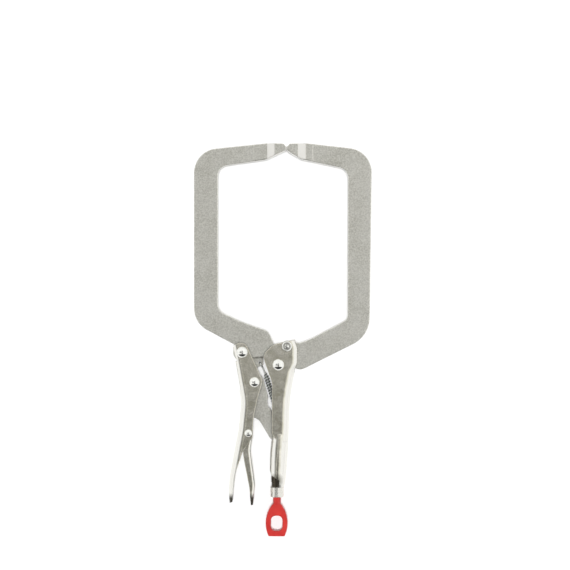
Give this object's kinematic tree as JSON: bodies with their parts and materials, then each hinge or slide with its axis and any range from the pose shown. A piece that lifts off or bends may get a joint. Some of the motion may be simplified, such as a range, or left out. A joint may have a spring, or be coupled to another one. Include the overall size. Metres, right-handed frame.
{
  "type": "locking c clamp",
  "caption": "Locking C-clamp with two deep cranked arms, over-centre toggle handles, a release lever and an adjusting screw turned by a looped key.",
  "frame": {"origin": "under the middle of the clamp's outline seen from above, on the plane its rivet heads rest on", "axes": "+Y along the handles towards the jaws, +Z through the thickness away from the surface it lies on, +X across, from the moving arm to the fixed arm"},
  "size_m": [0.1062, 0.2354, 0.0134],
  "materials": {
    "forged_nickel": "satin nickel plate over forged steel",
    "pressed_nickel": "bright nickel plate over pressed sheet",
    "rivet_steel": "polished domes",
    "screw_steel": "turned",
    "spring_steel": "bright wire",
    "red_enamel": "gloss"
  },
  "bodies": {
    "frame": {"fixed_handle": "pressed_nickel", "threaded_collar": "screw_steel", "fixed_arm": "forged_nickel", "fixed_arm_pin": "rivet_steel", "main_pivot_rivet": "rivet_steel", "tension_spring": "spring_steel"},
    "moving_arm": {"moving_arm": "forged_nickel"},
    "lever": {"lever_handle": "pressed_nickel", "lever_rivet": "rivet_steel", "link_rivet": "rivet_steel", "release_rivet": "rivet_steel"},
    "link": {"toggle_link": "forged_nickel"},
    "release": {"release_lever": "pressed_nickel"},
    "screw": {"adjusting_screw": "screw_steel"},
    "key": {"screw_key": "red_enamel"}
  },
  "joints": [
    {"name": "arm_open", "type": "hinge", "parent": "frame", "child": "moving_arm", "pos_m": [-0.0028, -0.0148, 0.0067], "axis": [0, 0, 1], "range_deg": [0, 52.3], "deforming": ["tension_spring"]},
    {"name": "lever_open", "type": "hinge", "parent": "moving_arm", "child": "lever", "pos_m": [-0.0244, -0.0073, 0.0067], "axis": [0, 0, 1], "range_deg": [-118.1, 0]},
    {"name": "link_fold", "type": "hinge", "parent": "lever", "child": "link", "pos_m": [-0.017, -0.0252, 0.0067], "axis": [0, 0, 1], "range_deg": [0, 106.3]},
    {"name": "release_squeeze", "type": "hinge", "parent": "lever", "child": "release", "pos_m": [-0.0206, -0.0557, 0.0067], "axis": [0, 0, -1], "range_deg": [0, 10]},
    {"name": "screw_travel", "type": "slide", "parent": "frame", "child": "screw", "axis": [-0.0105, -0.9999, 0], "range_m": [0, 0.0208]},
    {"name": "screw_turn", "type": "hinge", "parent": "screw", "child": "key", "pos_m": [-0.0028, -0.0148, 0.0067], "axis": [-0.0105, -0.9999, 0], "range_deg": [0, 9361]}
  ],
  "couplings": [
    {"joint": "lever_open", "follows": "arm_open", "ratio": -2.256},
    {"joint": "link_fold", "follows": "arm_open", "ratio": 2.03},
    {"joint": "screw_turn", "follows": "screw_travel", "rad_per_m": 7854}
  ]
}
